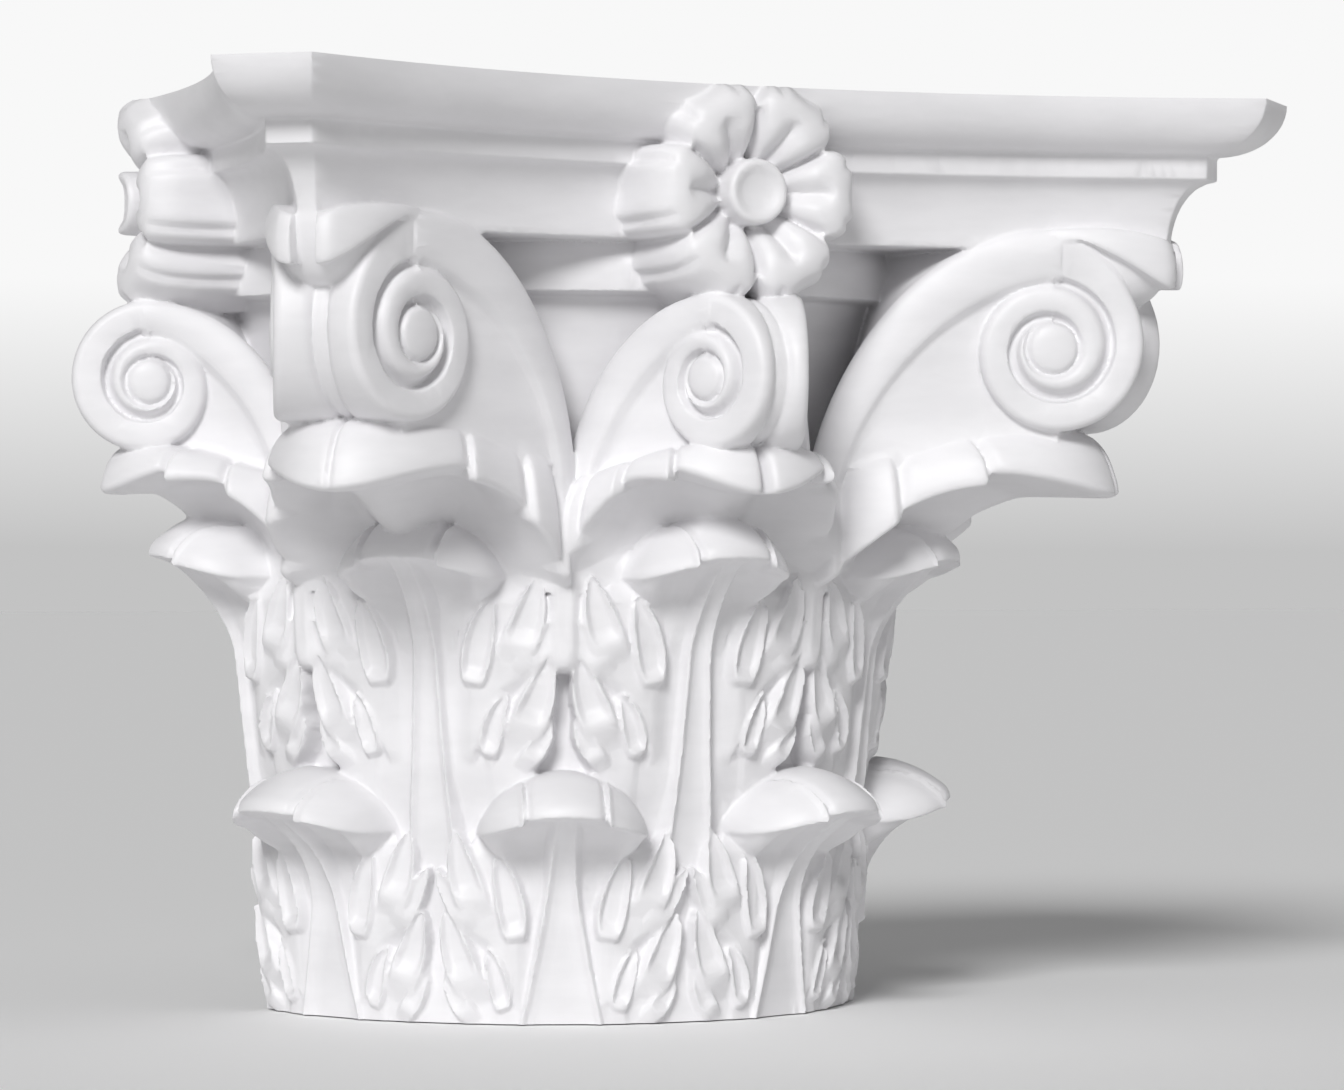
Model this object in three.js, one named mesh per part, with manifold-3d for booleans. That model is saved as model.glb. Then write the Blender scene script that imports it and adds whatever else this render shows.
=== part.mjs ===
// Corinthian half capital: one moulded piece, cut flat on the plane through the column's axis.
// Millimetres, +Z up. The underside is at z = 0, the front looks along -Y, the wall plane is at +Y.
// Shapes are placed round the column's axis at x = 0, y = 0; the finished piece then moves back by
// half its depth, so that the origin is at the middle of its footprint.
import * as THREE from 'three';
import Module from 'manifold-3d';

// ---- driving dimensions --------------------------------------------------------------------

const HEIGHT = 350; // underside to the top of the abacus

// abacus levels, top to bottom: height, horn reach, width of the horn's cut corner, mid-side reach
const TOP = { z: HEIGHT, horn: 295, corner: 38, side: 176 };
const FASCIA_TOP = { z: 330, horn: 270, corner: 18, side: 158.5 };
const FASCIA_FOOT = { z: 320.5, horn: 270, corner: 18, side: 158.5 };
const COVE_FOOT = { z: 294, horn: 253, corner: 7, side: 148 };
const MOULD_STEPS = 3; // facets in the ovolo and in the cove
const SIDE_STEPS = 8; // facets along each hollowed side

// bell
const FOOT_RADIUS = 117;
const LIP_RADIUS = 146.5;
const LIP_FOOT_Z = 274.5;
const BELL_FACETS = 32;
const CORE_RADIUS = 100; // every leaf and stem is rooted at least this deep

// the two rows of leaves
const LEAF_PITCH = 45; // degrees between leaves of one row
const LOWER = { foot: 0, lip: 80, hoodCentre: 129.7, hoodReach: 32.4, hoodHalf: 32, ground: 118, lean: 0.07 };
const UPPER = { foot: 50, lip: 176, hoodCentre: 142, hoodReach: 27.4, hoodHalf: 31, ground: 117.5, lean: 0.095 };
const HOOD_STEPS = 6;
const CHEEK_DROP = 6; // the hood's lip hangs this much lower at its two cheeks
const RIB_RISE = 3.5;
const RIB_FOOT_HALF = 16;
const RIB_TIP_HALF = 4;

// calyx leaves and volutes: one set under each horn, one in the middle of each side
const CORNER = {
  tip: 233,
  calyxHalf: 52,
  volute: 39,
  secondTurn: 24,
  channel: 27.7,
  channelTurn: 13.7,
  shrink: 1,
  eye: 9.8,
  eyeZ: 256,
  rimHalf: 15.5,
  reach: 246.5,
  stemArris: [[51, 131, 168], [64, 132, 225], [45.5, 172.9, 282]],
  stemEdge: [[53, 122, 168], [62, 118, 235], [50, 165, 300]],
};
const MIDDLE = {
  tip: 191,
  calyxHalf: 51,
  volute: 31,
  secondTurn: 16.5,
  channel: 20.8,
  channelTurn: 10.4,
  shrink: 1.6,
  eye: 8.4,
  eyeZ: 242,
  rimHalf: 10,
  reach: 202.5,
  stemArris: [[50, 130, 168], [52, 132, 215], [30.4, 146.8, 256]],
  stemEdge: [[52, 121, 168], [57, 118, 225], [34.2, 137.5, 274]],
};
const SPLAY = THREE.MathUtils.degToRad(22); // each scroll opens this far from its pair's middle
const TURN_STEPS = 10; // facets in one turn of a scroll
const CHANNEL_DEPTH = 4.5;
const STEM_STEPS = 6;
const WEB_FOOT_Z = 210; // the webs behind the scrolls reach down into the calyx leaves
const STEM_BACK = 128; // the stems stand free of the bell's lip behind this radius
const CALYX_ROOT = 120;
const CALYX_STEPS = 8;

// tongues between the leaves, where the stems start
const TONGUE_FOOT_Z = 132;
const TONGUE_HALF = 7.5;

// rosettes
const ROSETTE_Z = 311.5;
const ROSETTE_RADIUS = 38.3;
const ROSETTE_BACK = 128;
const PETALS = 6;
const PETAL_STEPS = 4; // facets across one petal
const BUTTON_RADIUS = 11;
const BUTTON_FRONT = 191;

// drapes under the horns
const DRAPE = { centre: 222, z: 295, half: 21, reach: 32, drop: 25 };
const DRAPE_STEPS = 4;

const SHORTEST_EDGE = 1.6; // shorter edges, left where shapes join, are drawn together
const FLAT = 0.001; // a point this close to a cut plane lies on it

// the half capital's depth: axis to the foremost corner of a horn
const HALF_DEPTH = (TOP.horn + TOP.corner / 2) * Math.SQRT1_2;

// ---- small tools ---------------------------------------------------------------------------

const rad = THREE.MathUtils.degToRad;
const lerp = THREE.MathUtils.lerp;

// a point beside (l), outward (d) and above (z), turned to a leaf's or scroll's place on the capital
function around(angle, l, d, z) {
  const c = Math.cos(angle);
  const s = Math.sin(angle);
  return new THREE.Vector3(l * c + d * s, l * s - d * c, z);
}

// a closed body from its faces; it is turned inside out if its faces point inwards
function body(wasm, points, faces) {
  let volume = 0;
  for (const [a, b, c] of faces) {
    volume += points[a].dot(new THREE.Vector3().crossVectors(points[b], points[c]));
  }
  const wound = volume > 0 ? faces : faces.map(([a, b, c]) => [a, c, b]);
  return new wasm.Manifold(new wasm.Mesh({
    numProp: 3,
    vertProperties: new Float32Array(points.flatMap((p) => p.toArray())),
    triVerts: new Uint32Array(wound.flat()),
  }));
}

// a skin stretched over rings of equal length, closed by a fan at both ends
function loft(wasm, rings) {
  const points = rings.flat();
  const count = rings[0].length;
  const faces = [];
  for (let i = 0; i + 1 < rings.length; i += 1) {
    for (let j = 0; j < count; j += 1) {
      const a = i * count + j;
      const b = i * count + ((j + 1) % count);
      faces.push([a, b, b + count], [a, b + count, a + count]);
    }
  }
  for (const end of [0, rings.length - 1]) {
    const middle = points.length;
    points.push(rings[end].reduce((sum, p) => sum.add(p), new THREE.Vector3()).divideScalar(count));
    for (let j = 0; j < count; j += 1) {
      const a = end * count + j;
      const b = end * count + ((j + 1) % count);
      faces.push(end === 0 ? [b, a, middle] : [a, b, middle]);
    }
  }
  return body(wasm, points, faces);
}

// a three.js geometry as a closed body
function closed(wasm, geometry) {
  const position = geometry.attributes.position;
  const points = [];
  const index = new Map();
  const number = [];
  for (let i = 0; i < position.count; i += 1) {
    const p = new THREE.Vector3().fromBufferAttribute(position, i);
    const key = p.toArray().map((v) => Math.round(v * 1e4)).join(' ');
    if (!index.has(key)) {
      index.set(key, points.length);
      points.push(p);
    }
    number.push(index.get(key));
  }
  const order = geometry.index ? Array.from(geometry.index.array) : number.map((_, i) => i);
  const faces = [];
  for (let i = 0; i < order.length; i += 3) {
    const face = [number[order[i]], number[order[i + 1]], number[order[i + 2]]];
    if (new Set(face).size === 3) faces.push(face);
  }
  return body(wasm, points, faces);
}

// ---- abacus and bell -----------------------------------------------------------------------

// four hollowed sides between four cut corners
function abacusRing(level) {
  const ring = [];
  for (let side = 0; side < 4; side += 1) {
    const turn = rad(90 * side);
    const halfCorner = level.corner / 2;
    const x = (level.horn - halfCorner) * Math.SQRT1_2;
    const y = (level.horn + halfCorner) * Math.SQRT1_2;
    const sag = y - level.side;
    const radius = (x * x + sag * sag) / (2 * sag);
    const sweep = Math.asin(x / radius);
    for (let i = 0; i <= SIDE_STEPS; i += 1) {
      const t = lerp(-sweep, sweep, i / SIDE_STEPS);
      const out = level.side + radius * (1 - Math.cos(t));
      ring.push(around(turn, radius * Math.sin(t), out, level.z));
    }
  }
  return ring;
}

function between(a, b, out, down) {
  return {
    z: lerp(a.z, b.z, down),
    horn: lerp(a.horn, b.horn, out),
    corner: lerp(a.corner, b.corner, out),
    side: lerp(a.side, b.side, out),
  };
}

function abacus(wasm) {
  const levels = [];
  for (let i = 0; i <= MOULD_STEPS; i += 1) {
    const t = rad((90 * i) / MOULD_STEPS);
    levels.push(between(TOP, FASCIA_TOP, 1 - Math.cos(t), Math.sin(t)));
  }
  for (let i = 0; i <= MOULD_STEPS; i += 1) {
    const t = rad((90 * i) / MOULD_STEPS);
    levels.push(between(FASCIA_FOOT, COVE_FOOT, Math.sin(t), 1 - Math.cos(t)));
  }
  return loft(wasm, levels.map(abacusRing));
}

function bell(wasm) {
  const profile = [
    [0, 0], [FOOT_RADIUS, 0], [FOOT_RADIUS + 5, 110], [FOOT_RADIUS + 8, 190], [FOOT_RADIUS + 13, 240],
    [FOOT_RADIUS + 20, LIP_FOOT_Z - 1], [LIP_RADIUS, LIP_FOOT_Z], [LIP_RADIUS, LIP_FOOT_Z + 10],
    [LIP_RADIUS - 3, LIP_FOOT_Z + 18], [LIP_RADIUS - 7, COVE_FOOT.z + 2], [0, COVE_FOOT.z + 2],
  ].map(([r, z]) => new THREE.Vector2(r, z));
  const geometry = new THREE.LatheGeometry(profile, BELL_FACETS);
  geometry.rotateX(Math.PI / 2);
  return closed(wasm, geometry);
}

// ---- leaves --------------------------------------------------------------------------------

// the curled-over head of a leaf: height from the lip, half width and reach as shares of the hood's
const HOOD_PROFILE = [
  [-39, 0.3, 0.02], [-21, 0.42, 0.12], [-12, 0.7, 0.4], [-5, 0.9, 0.71],
  [0, 1, 1], [4, 0.95, 0.92], [11, 0.76, 0.6], [16, 0.3, 0.08],
];

function groundRadius(leaf, z) {
  return leaf.ground + leaf.lean * z;
}

// the hood springs from the leaf's ground and stands on its own centre at the lip
function hoodRoot(leaf, rise) {
  const share = THREE.MathUtils.smoothstep(rise, HOOD_PROFILE[0][0], 0);
  return lerp(groundRadius(leaf, leaf.lip + rise), leaf.hoodCentre, share);
}

function hoodReach(leaf, rise) {
  const above = HOOD_PROFILE.findIndex(([h]) => h > rise);
  if (above < 1) return 0;
  const [low, high] = [HOOD_PROFILE[above - 1], HOOD_PROFILE[above]];
  return leaf.hoodReach * lerp(low[2], high[2], (rise - low[0]) / (high[0] - low[0]));
}

function hood(wasm, angle, leaf) {
  const rings = HOOD_PROFILE.map(([rise, half, reach]) => {
    const z = leaf.lip + rise;
    const ring = [];
    for (let i = 0; i <= HOOD_STEPS; i += 1) {
      const t = rad(lerp(-90, 90, i / HOOD_STEPS));
      const l = leaf.hoodHalf * half * Math.sin(t);
      const d = hoodRoot(leaf, rise) + leaf.hoodReach * reach * Math.cos(t);
      ring.push(around(angle, l, d, z - CHEEK_DROP * half * Math.sin(t) ** 2));
    }
    const low = z - CHEEK_DROP * half;
    ring.push(around(angle, leaf.hoodHalf * half, CORE_RADIUS, low));
    ring.push(around(angle, -leaf.hoodHalf * half, CORE_RADIUS, low));
    return ring;
  });
  return loft(wasm, rings);
}

// the flat middle rib, wide at the foot, running up under the hood's lip
function rib(wasm, angle, leaf) {
  const stations = [0, 0.5, 0.7, 0.85, 0.93, 0.99];
  const rings = stations.map((t) => {
    const z = lerp(0, leaf.lip, t);
    const rise = z - leaf.lip;
    const front = hoodRoot(leaf, rise) + hoodReach(leaf, rise) + RIB_RISE * (1 - t ** 4) * lerp(0.5, 1, t);
    const half = lerp(RIB_FOOT_HALF, RIB_TIP_HALF, t);
    return [
      around(angle, -half - 1.5, front - RIB_RISE, z), around(angle, -half, front, z),
      around(angle, half, front, z), around(angle, half + 1.5, front - RIB_RISE, z),
      around(angle, half, CORE_RADIUS, z), around(angle, -half, CORE_RADIUS, z),
    ];
  });
  return loft(wasm, rings);
}

// the leaf's blade, lying on the bell behind its lobes
function blade(wasm, angle, leaf) {
  const half = rad(17);
  const stations = [0, 0.5, 0.85, 1];
  const rings = stations.map((t) => {
    const z = lerp(leaf.foot, leaf.lip + 2, t);
    const r = groundRadius(leaf, z);
    const spread = half * (t === 1 ? 0.6 : 1);
    const ring = [-1, -0.5, 0, 0.5, 1].map((s) => around(angle + spread * s, 0, r, z));
    ring.push(around(angle + spread, 0, CORE_RADIUS, z), around(angle - spread, 0, CORE_RADIUS, z));
    return ring;
  });
  return loft(wasm, rings);
}

// one leaflet: foot beside and above the leaf's own foot, then its tip, width and swell
const LEAFLETS = [
  { foot: [15.5, -48], tip: [22, -18], width: 12, swell: 6.5 },
  { foot: [26, -48], tip: [38, -8], width: 15, swell: 7.5 },
  { foot: [22, -76], tip: [27, -50], width: 11, swell: 6.5 },
  { foot: [31, -78], tip: [43, -38], width: 14, swell: 7.5 },
];
const LEAFLET_EDGE = 2; // the leaflet's edge stands this proud of the leaf's ground
const LEAFLET_OUTLINE = [[0, 0], [0.55, -0.5], [1, 0], [0.55, 0.5]];

function leaflet(wasm, angle, leaf, shape, hand) {
  const [footX, footZ] = shape.foot;
  const [tipX, tipZ] = shape.tip;
  const length = Math.hypot(tipX - footX, tipZ - footZ);
  const acrossX = (tipZ - footZ) / length;
  const acrossZ = -(tipX - footX) / length;
  const place = (t, w, rise) => {
    const x = lerp(footX, tipX, t) + acrossX * w * shape.width;
    const z = leaf.lip + lerp(footZ, tipZ, t) + acrossZ * w * shape.width;
    const r = rise < 0 ? CORE_RADIUS + 8 : groundRadius(leaf, z) + rise;
    return around(angle + (hand * x) / leaf.hoodCentre, 0, r, z);
  };
  const count = LEAFLET_OUTLINE.length;
  const points = [
    ...LEAFLET_OUTLINE.map(([t, w]) => place(t, w, LEAFLET_EDGE)),
    place(0.5, 0, -1),
    place(0.6, 0, shape.swell),
  ];
  const faces = [];
  for (let i = 0; i < count; i += 1) {
    const j = (i + 1) % count;
    faces.push([j, i, count], [i, j, count + 1]);
  }
  return body(wasm, points, faces);
}

function leafParts(wasm, angle, leaf) {
  const parts = [hood(wasm, angle, leaf), rib(wasm, angle, leaf), blade(wasm, angle, leaf)];
  for (const shape of LEAFLETS) {
    for (const hand of [-1, 1]) parts.push(leaflet(wasm, angle, leaf, shape, hand));
  }
  return parts;
}

// ---- calyx leaf, scrolls and their stems -----------------------------------------------------

// the leaf that spreads under a pair of scrolls and runs down to a tongue on each side
function calyx(wasm, angle, set) {
  const rings = [];
  const reach = set.tip - CALYX_ROOT;
  for (let i = 0; i <= CALYX_STEPS; i += 1) {
    const t = rad(lerp(-90, 90, i / CALYX_STEPS));
    const side = Math.abs(Math.sin(t));
    const lipZ = 199 + 6 * Math.sin(2 * t) ** 2 - 36 * side ** 16;
    const topZ = set.eyeZ - set.volute * 0.8 - 12 * side ** 4;
    const place = (share, z) => around(
      angle, set.calyxHalf * Math.sin(t) * share, CALYX_ROOT + reach * Math.cos(t) * share, z);
    rings.push([
      place(0.1, topZ), place(0.84, topZ), place(0.96, lerp(lipZ, topZ, 0.55)), place(1, lipZ + 3),
      place(0.95, lipZ), place(0.68, lipZ + 1), place(0.38, lipZ - 15), place(0.1, lipZ - 24),
    ]);
  }
  return loft(wasm, rings);
}

// a scroll's own plane: u outward along it, v up, w out of its face
function scrollPlane(angle, hand, set) {
  const eyeD = set.reach - set.volute * 0.88 * Math.cos(SPLAY);
  const eyeL = set.rimHalf + set.volute * 0.88 * Math.sin(SPLAY);
  return (u, v, w) => {
    const l = eyeL - u * Math.sin(SPLAY) + w * Math.cos(SPLAY);
    const d = eyeD + u * Math.cos(SPLAY) + w * Math.sin(SPLAY);
    return { l, d, point: around(angle, hand * l, d, set.eyeZ + v) };
  };
}

// one scroll: an outer band, a channel beside it and the next turn, winding in to the eye
function scroll(wasm, angle, hand, set) {
  const plane = scrollPlane(angle, hand, set);
  const points = [];
  const add = (radius, turn, w) => {
    const t = rad(90 - 360 * turn);
    points.push(plane(radius * Math.cos(t), radius * Math.sin(t), w).point);
    return points.length - 1;
  };
  const outer = (turn) => (turn <= 1
    ? lerp(set.volute, set.secondTurn, turn ** set.shrink)
    : lerp(set.secondTurn, set.eye, turn - 1));
  const inner = (turn) => Math.max(set.channel - set.channelTurn * turn, set.eye + 0.4);
  const total = 2 * TURN_STEPS;
  const eyeRing = [];
  for (let i = 0; i < TURN_STEPS; i += 1) eyeRing.push(add(set.eye, i / TURN_STEPS, -1));
  const rows = [];
  for (let i = 0; i < total; i += 1) {
    const turn = i / TURN_STEPS;
    const edge = outer(turn);
    const step = Math.min(inner(turn), edge - 0.4);
    const floor = Math.max(step - 0.9, set.eye + 0.1);
    const second = turn > 1 ? 1 : 0;
    rows.push([add(edge, turn, -second), add(step, turn, 0), add(floor, turn, -CHANNEL_DEPTH * (1 - second * 0.4))]);
  }
  rows.push([eyeRing[0], eyeRing[0], eyeRing[0]]);
  const faces = [];
  const quad = (a, b, c, d) => {
    for (const face of [[a, b, c], [a, c, d]]) if (new Set(face).size === 3) faces.push(face);
  };
  const next = (i) => (i < TURN_STEPS ? rows[i + TURN_STEPS][0] : eyeRing[i % TURN_STEPS]);
  for (let i = 0; i < total; i += 1) {
    const row = [...rows[i], next(i)];
    const following = [...rows[i + 1], next(i + 1)];
    for (let j = 0; j < 3; j += 1) quad(row[j], following[j], following[j + 1], row[j + 1]);
  }
  const boss = add(0, 0, 2.5);
  eyeRing.forEach((a, i) => faces.push([a, eyeRing[(i + 1) % TURN_STEPS], boss]));
  const rim = rows.slice(0, TURN_STEPS + 1).map((row) => row[0]);
  rim.push(rows[0][2], rows[0][1]);
  const back = (u, v) => {
    const { l } = plane(u, v, 0);
    points.push(plane(u, v, -l / Math.cos(SPLAY)).point);
    return points.length - 1;
  };
  const backRim = [];
  for (let i = 0; i <= TURN_STEPS; i += 1) {
    const t = rad(90 - (360 * i) / TURN_STEPS);
    const r = outer(i / TURN_STEPS);
    backRim.push(back(r * Math.cos(t), r * Math.sin(t)));
  }
  backRim.push(back(0, set.channel - 0.9), back(0, set.channel));
  const backMiddle = back(0, 0);
  rim.forEach((a, i) => {
    const j = (i + 1) % rim.length;
    quad(a, backRim[i], backRim[j], rim[j]);
    faces.push([backRim[i], backMiddle, backRim[j]]);
  });
  return body(wasm, points, faces);
}

// the stem: a band with a sharp inner arris and a hollow behind it, from the tongue to the scroll's top
function stem(wasm, angle, hand, set) {
  const plane = scrollPlane(angle, hand, set);
  const vector = ([l, d, z]) => new THREE.Vector3(l, d, z);
  const onPlane = (u, v) => {
    const { l, d } = plane(u, v, 0);
    return new THREE.Vector3(l, d, set.eyeZ + v);
  };
  const arris = new THREE.CubicBezierCurve3(...set.stemArris.map(vector), onPlane(3, set.channel));
  const edge = new THREE.CubicBezierCurve3(...set.stemEdge.map(vector), onPlane(3, set.volute));
  const rings = [];
  for (let i = 0; i <= STEM_STEPS; i += 1) {
    const t = i / STEM_STEPS;
    const m = arris.getPoint(t);
    const o = edge.getPoint(t);
    const foot = Math.min(m.z - 6, WEB_FOOT_Z);
    const sunk = lerp(0, CHANNEL_DEPTH, t);
    const web = new THREE.Vector2(m.x - sunk * Math.cos(SPLAY) - 1, m.y - sunk * Math.sin(SPLAY));
    rings.push([
      around(angle, hand * o.x, o.y, o.z),
      around(angle, hand * m.x, m.y, m.z),
      around(angle, hand * web.x, web.y, m.z - 1.5),
      around(angle, hand * web.x, web.y, foot),
      around(angle, 0, web.y, foot),
      around(angle, 0, STEM_BACK, o.z - 2),
    ]);
  }
  return loft(wasm, rings);
}

// the pendant tongue from which two neighbouring stems spring
function tongue(wasm, angle) {
  const stations = [
    [0, 0.8, 6], [2.5, 1, 16], [20, 0.95, 19.5], [34, 1.1, 20.5], [48, 1.7, 20], [62, 2.3, 15],
  ];
  const rings = stations.map(([rise, half, reach]) => {
    const ring = [];
    for (let i = 0; i <= 6; i += 1) {
      const t = rad(lerp(-90, 90, i / 6));
      ring.push(around(angle, TONGUE_HALF * half * Math.sin(t), 118 + reach * Math.cos(t), TONGUE_FOOT_Z + rise));
    }
    ring.push(around(angle, TONGUE_HALF * half, CORE_RADIUS, TONGUE_FOOT_Z + rise));
    ring.push(around(angle, -TONGUE_HALF * half, CORE_RADIUS, TONGUE_FOOT_Z + rise));
    return ring;
  });
  return loft(wasm, rings);
}

// the drape that hangs from the horn over the tops of its two scrolls: the lower half of an egg
function drape(wasm, angle) {
  const rings = [];
  for (let i = 0; i <= DRAPE_STEPS; i += 1) {
    const fall = rad((88 * i) / DRAPE_STEPS);
    const ring = [];
    for (let j = 0; j < 3 * DRAPE_STEPS; j += 1) {
      const t = (2 * Math.PI * j) / (3 * DRAPE_STEPS);
      const l = DRAPE.half * Math.cos(fall) * Math.sin(t);
      const d = DRAPE.centre + DRAPE.reach * Math.cos(fall) * Math.cos(t);
      ring.push(around(angle, l, d, DRAPE.z - DRAPE.drop * Math.sin(fall)));
    }
    rings.push(ring);
  }
  return loft(wasm, rings);
}

// ---- rosette -------------------------------------------------------------------------------

// a deep bulging flower: distance outward and radius, back to front
const ROSETTE_PROFILE = [[0, 0.92], [0.16, 1.03], [0.5, 1.05], [0.78, 1], [0.91, 0.74], [0.93, 0.36]];

function rosette(wasm, angle) {
  const depth = BUTTON_FRONT - ROSETTE_BACK;
  const count = PETALS * PETAL_STEPS;
  const ring = (share, size, notch) => {
    const points = [];
    for (let i = 0; i < count; i += 1) {
      const t = (2 * Math.PI * i) / count;
      const across = Math.abs(((i % PETAL_STEPS) / PETAL_STEPS) * 2 - 1);
      const lobe = 1 - notch * across ** 2 - (across === 0 ? notch * 0.35 : 0);
      const r = ROSETTE_RADIUS * size * lobe;
      const d = ROSETTE_BACK + depth * share;
      points.push(around(angle, r * Math.sin(t), d, ROSETTE_Z + r * Math.cos(t)));
    }
    return points;
  };
  const rings = ROSETTE_PROFILE.map(([share, size], i) => ring(share, size, i < 5 ? 0.13 : 0));
  const button = BUTTON_RADIUS / ROSETTE_RADIUS;
  rings.push(ring(0.99, button, 0), ring(0.96, button * 0.5, 0));
  return loft(wasm, rings);
}

// ---- the whole piece -----------------------------------------------------------------------

function halfCapital(wasm) {
  const parts = [abacus(wasm), bell(wasm)];
  for (let k = -1.5; k <= 1.5; k += 1) {
    parts.push(...leafParts(wasm, rad(LEAF_PITCH * k), LOWER));
    parts.push(tongue(wasm, rad(LEAF_PITCH * k)));
  }
  for (let k = -2; k <= 2; k += 1) {
    const angle = rad(LEAF_PITCH * k);
    const corner = k % 2 !== 0;
    const set = corner ? CORNER : MIDDLE;
    parts.push(...leafParts(wasm, angle, UPPER), calyx(wasm, angle, set));
    for (const hand of [-1, 1]) {
      const behindWall = k * hand === 2;
      if (!behindWall) parts.push(scroll(wasm, angle, hand, set), stem(wasm, angle, hand, set));
    }
    parts.push(corner ? drape(wasm, angle) : rosette(wasm, angle));
  }
  const whole = parts.reduce((sum, part) => sum.add(part));
  const keep = new THREE.BoxGeometry(2 * HEIGHT, HALF_DEPTH + 50, HEIGHT);
  keep.translate(0, -(HALF_DEPTH + 50) / 2, HEIGHT / 2);
  return whole.intersect(closed(wasm, keep));
}

// the vertices and faces of a joined body
function meshOf(solid) {
  const mesh = solid.getMesh();
  const points = [];
  for (let i = 0; i < mesh.vertProperties.length; i += 3) {
    points.push(new THREE.Vector3().fromArray(mesh.vertProperties, i));
  }
  const faces = [];
  for (let i = 0; i < mesh.triVerts.length; i += 3) faces.push(Array.from(mesh.triVerts.slice(i, i + 3)));
  return { points, faces };
}

// joined shapes can enclose small pockets: only the outer skin is kept, which is the largest
function outerSkin({ points, faces }) {
  const leader = points.map((_, i) => i);
  const find = (i) => {
    while (leader[i] !== i) i = leader[i];
    return i;
  };
  for (const [a, b, c] of faces) {
    leader[find(b)] = find(a);
    leader[find(c)] = find(a);
  }
  const skins = new Map();
  for (const face of faces) {
    const skin = find(face[0]);
    if (!skins.has(skin)) skins.set(skin, []);
    skins.get(skin).push(face);
  }
  const largest = [...skins.values()].reduce((a, b) => (a.length > b.length ? a : b));
  return { points, faces: largest };
}

// joining leaves slivers: each edge shorter than the limit is drawn together to one of its ends,
// unless that would fold a face over, open the skin, or pull a point off one of the cut planes
function withoutSlivers({ points, faces }, shortest) {
  const touching = points.map(() => new Set());
  const kept = faces.map((face) => [...face]);
  kept.forEach((face, i) => face.forEach((p) => touching[p].add(i)));
  const neighbours = (p) => new Set([...touching[p]].flatMap((i) => kept[i]).filter((q) => q !== p));
  const normal = (face) => {
    const [a, b, c] = face.map((p) => points[p]);
    return new THREE.Vector3().crossVectors(b.clone().sub(a), c.clone().sub(a));
  };
  const onPlanes = (p) => [Math.abs(p.y) < FLAT, p.z < FLAT, p.z > HEIGHT - FLAT];
  const mayJoin = (from, to) => {
    const target = onPlanes(points[to]);
    if (onPlanes(points[from]).some((on, i) => on && !target[i])) return false;
    const shared = [...neighbours(from)].filter((q) => neighbours(to).has(q));
    if (shared.length !== 2) return false;
    return [...touching[from]].every((i) => {
      if (kept[i].includes(to)) return true;
      const before = normal(kept[i]);
      const after = normal(kept[i].map((p) => (p === from ? to : p)));
      return after.dot(before) > 0.5 * after.length() * before.length() && after.length() > FLAT;
    });
  };
  const join = (from, to) => {
    for (const i of [...touching[from]]) {
      if (kept[i].includes(to)) {
        kept[i].forEach((p) => touching[p].delete(i));
        kept[i] = null;
      } else {
        kept[i] = kept[i].map((p) => (p === from ? to : p));
        touching[to].add(i);
      }
    }
    touching[from].clear();
  };
  const edges = faces.flatMap(([a, b, c]) => [[a, b], [b, c], [c, a]]).filter(([a, b]) => a < b);
  const length = ([a, b]) => points[a].distanceTo(points[b]);
  edges.sort((a, b) => length(a) - length(b));
  for (const [a, b] of edges) {
    const live = [...touching[a]].some((i) => kept[i].includes(b));
    if (!live || length([a, b]) > shortest) continue;
    if (mayJoin(b, a)) join(b, a);
    else if (mayJoin(a, b)) join(a, b);
  }
  return { points, faces: kept.filter((face) => face !== null) };
}

const wasm = await Module();
wasm.setup();

const { points, faces } = withoutSlivers(outerSkin(meshOf(halfCapital(wasm))), SHORTEST_EDGE);
const used = [...new Set(faces.flat())];
const number = new Map(used.map((p, i) => [p, i]));
const geometry = new THREE.BufferGeometry().setFromPoints(used.map((p) => points[p]));
geometry.setIndex(faces.flat().map((p) => number.get(p)));
geometry.computeVertexNormals();

const primedPolyurethane = new THREE.MeshStandardMaterial({ color: '#ecebed', roughness: 0.55, metalness: 0 });
const capital = new THREE.Mesh(geometry, primedPolyurethane);
capital.name = 'half_capital';

capital.position.y = HALF_DEPTH / 2;

const group = new THREE.Group();
group.add(capital);

export default group;
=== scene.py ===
"""A Corinthian half capital, moulded in rigid polyurethane foam and primed white.

One moulded piece. Its carving is built as a set of closed skins in millimetres round the column's
axis, melted together into one skin, and cut flat on the wall plane, the underside and the top.
"""
import math

import bpy
import numpy as np
from mathutils import Matrix, Vector


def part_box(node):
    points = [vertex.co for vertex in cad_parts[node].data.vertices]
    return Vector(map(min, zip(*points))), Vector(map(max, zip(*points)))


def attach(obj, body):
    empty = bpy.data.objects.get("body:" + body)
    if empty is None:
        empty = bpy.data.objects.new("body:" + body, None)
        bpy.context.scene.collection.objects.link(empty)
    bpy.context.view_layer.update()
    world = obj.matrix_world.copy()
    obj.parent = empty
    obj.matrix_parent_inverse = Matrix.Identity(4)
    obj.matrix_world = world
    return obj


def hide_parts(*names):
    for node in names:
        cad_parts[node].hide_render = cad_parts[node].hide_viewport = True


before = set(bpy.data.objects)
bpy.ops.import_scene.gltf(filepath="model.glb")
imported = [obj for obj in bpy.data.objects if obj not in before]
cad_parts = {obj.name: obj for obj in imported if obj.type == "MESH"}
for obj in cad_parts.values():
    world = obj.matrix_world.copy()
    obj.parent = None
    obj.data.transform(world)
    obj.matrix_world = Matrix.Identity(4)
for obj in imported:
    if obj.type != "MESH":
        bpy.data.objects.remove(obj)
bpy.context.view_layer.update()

LOW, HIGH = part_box("half_capital")
MM = 0.001
AXIS_Y = HIGH.y  # the wall plane holds the column's axis
HEIGHT = (HIGH.z - LOW.z) / MM
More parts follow.
